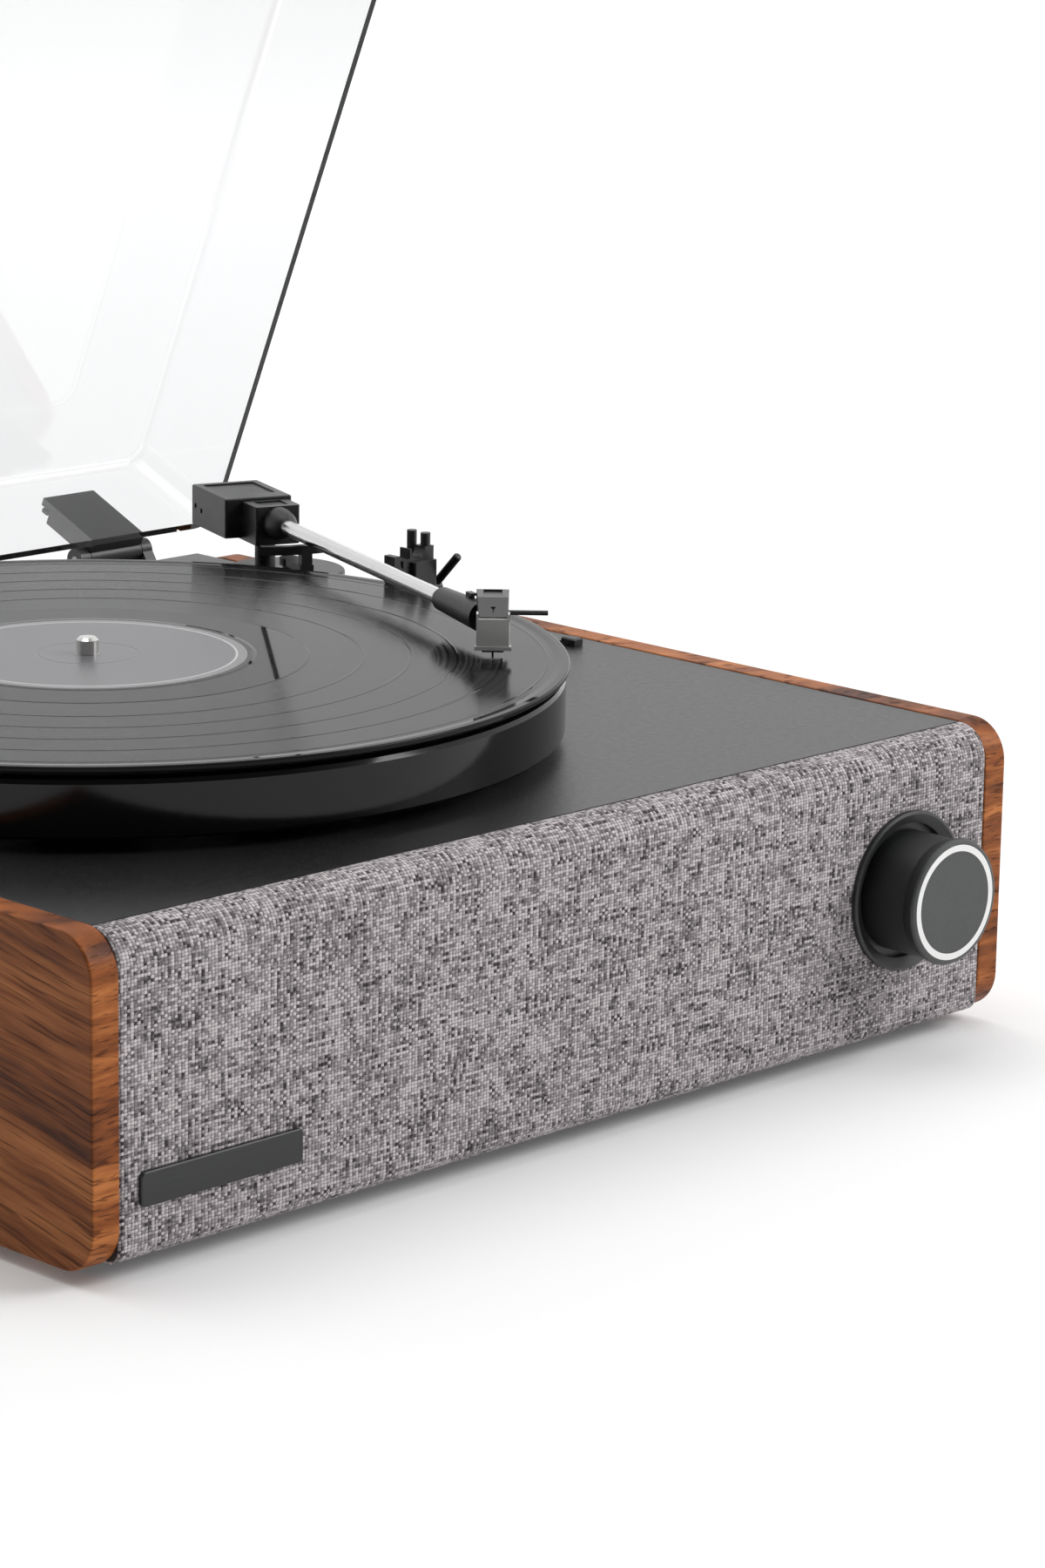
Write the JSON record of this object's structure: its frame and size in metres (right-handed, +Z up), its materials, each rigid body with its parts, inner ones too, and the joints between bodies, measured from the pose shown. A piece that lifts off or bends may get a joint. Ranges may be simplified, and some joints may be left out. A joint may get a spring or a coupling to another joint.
{
  "type": "turntable record player",
  "caption": "Belt-driven record player with built-in loudspeakers, walnut side panels, cloth front, volume knob, tonearm on a record and an open hinged clear dust cover.",
  "frame": {"origin": "middle of the cabinet's footprint, on the surface that the feet stand on", "axes": "+X to the right along the front, +Y to the back, +Z up"},
  "size_m": [0.385, 0.4409, 0.4614],
  "materials": {
    "walnut": "satin",
    "board": "raw",
    "deck_black": "fine texture",
    "cloth": "heathered plain weave",
    "black_plastic": "matte",
    "cabinet_rubber": "matte",
    "screw_steel": "zinc plated",
    "badge_metal": "satin",
    "speaker_steel": "painted",
    "speaker_paper": "paper",
    "magnet": "raw",
    "bezel_grey": "satin",
    "knob_grey": "satin",
    "ring_white": "satin",
    "shaft_steel": "turned",
    "board_green": "satin",
    "component_black": "satin",
    "standoff_white": "satin",
    "motor_steel": "zinc plated",
    "bearing_brass": "turned",
    "platter_black": "gloss",
    "mat_black": "felt",
    "vinyl": "grooved",
    "label_paper": "paper",
    "spindle_chrome": "polished",
    "belt_rubber": "smooth",
    "arm_black": "matte",
    "tube_silver": "polished",
    "weight_steel": "raw",
    "cartridge_grey": "satin",
    "jack_brass": "plated",
    "clear_cover": "clear"
  },
  "bodies": {
    "cabinet": {"side_panel_left": "walnut", "side_panel_right": "walnut", "bottom_panel": "board", "front_baffle": "board", "rear_panel": "board", "deck_plate": "deck_black", "grille_cloth": "cloth", "feet": "cabinet_rubber", "motor_grommets": "cabinet_rubber", "cabinet_screws": "screw_steel", "speaker_screws": "screw_steel", "hinge_screws": "screw_steel", "badge_plate": "badge_metal", "speaker_frame_left": "speaker_steel", "speaker_frame_right": "speaker_steel", "speaker_cone_left": "speaker_paper", "speaker_cone_right": "speaker_paper", "speaker_magnet_left": "magnet", "speaker_magnet_right": "magnet", "knob_bezel": "bezel_grey", "volume_potentiometer": "component_black", "board_components": "component_black", "power_jack": "component_black", "hinge_pins": "shaft_steel", "circuit_board": "board_green", "board_standoffs": "standoff_white", "motor": "motor_steel", "bearing_housing": "bearing_brass", "drive_belt": "belt_rubber", "tonearm_base": "arm_black", "lift_bar": "arm_black", "arm_rest": "arm_black", "jack_plate": "black_plastic", "hinge_brackets": "black_plastic", "rca_jacks": "jack_brass"},
    "platter": {"platter": "platter_black", "slip_mat": "mat_black", "record": "vinyl", "record_label": "label_paper", "spindle": "spindle_chrome"},
    "pulley": {"motor_pulley": "bearing_brass"},
    "arm_yoke": {"tonearm_yoke": "arm_black"},
    "tonearm": {"pivot_pins": "shaft_steel", "pivot_housing": "arm_black", "counterweight": "weight_steel", "tonearm_tube": "tube_silver", "tube_collar": "arm_black", "head_collar": "arm_black", "headshell": "arm_black", "cartridge": "cartridge_grey", "stylus": "arm_black"},
    "cue_lever": {"cue_lever": "arm_black"},
    "lid": {"dust_cover": "clear_cover", "hinge_leaves": "black_plastic", "lid_bumpers": "cabinet_rubber"},
    "volume_knob": {"volume_knob": "knob_grey", "knob_ring": "ring_white", "knob_shaft": "shaft_steel"},
    "speed_selector": {"speed_selector": "black_plastic"},
    "auto_stop": {"auto_stop_switch": "black_plastic"}
  },
  "joints": [
    {"name": "platter_spin", "type": "hinge", "parent": "cabinet", "child": "platter", "pos_m": [-0.0375, -0.006, 0.11], "axis": [0, 0, 1], "continuous": true},
    {"name": "pulley_spin", "type": "hinge", "parent": "cabinet", "child": "pulley", "pos_m": [-0.1256, 0.06792, 0.11], "axis": [0, 0, 1], "continuous": true},
    {"name": "arm_swing", "type": "hinge", "parent": "cabinet", "child": "arm_yoke", "pos_m": [0.1257, 0.0903, 0.11], "axis": [0, 0, 1], "range_deg": [-22, 8.5]},
    {"name": "arm_lift", "type": "hinge", "parent": "arm_yoke", "child": "tonearm", "pos_m": [0.1257, 0.0903, 0.13495], "axis": [-0.9397, 0.342, 0], "range_deg": [0, 4]},
    {"name": "cue_lever_turn", "type": "hinge", "parent": "cabinet", "child": "cue_lever", "pos_m": [0.1355, 0.017, 0.11995], "axis": [-1, 0, 0], "range_deg": [0, 60]},
    {"name": "lid_hinge", "type": "hinge", "parent": "cabinet", "child": "lid", "pos_m": [0, 0.1956, 0.10345], "axis": [-1, 0, 0], "range_deg": [-67, 0]},
    {"name": "volume_turn", "type": "hinge", "parent": "cabinet", "child": "volume_knob", "pos_m": [0.14515, -0.195, 0.05305], "axis": [0, -1, 0], "range_deg": [-150, 150]},
    {"name": "speed_turn", "type": "hinge", "parent": "cabinet", "child": "speed_selector", "pos_m": [-0.1525, 0.153, 0.1], "axis": [0, 0, 1], "range_deg": [-40, 40]},
    {"name": "auto_stop_slide", "type": "slide", "parent": "cabinet", "child": "auto_stop", "axis": [0, 1, 0], "range_m": [0, 0.005]}
  ],
  "couplings": [
    {"joint": "pulley_spin", "follows": "platter_spin", "ratio": 17.333},
    {"joint": "arm_lift", "follows": "cue_lever_turn", "ratio": 0.066667}
  ]
}
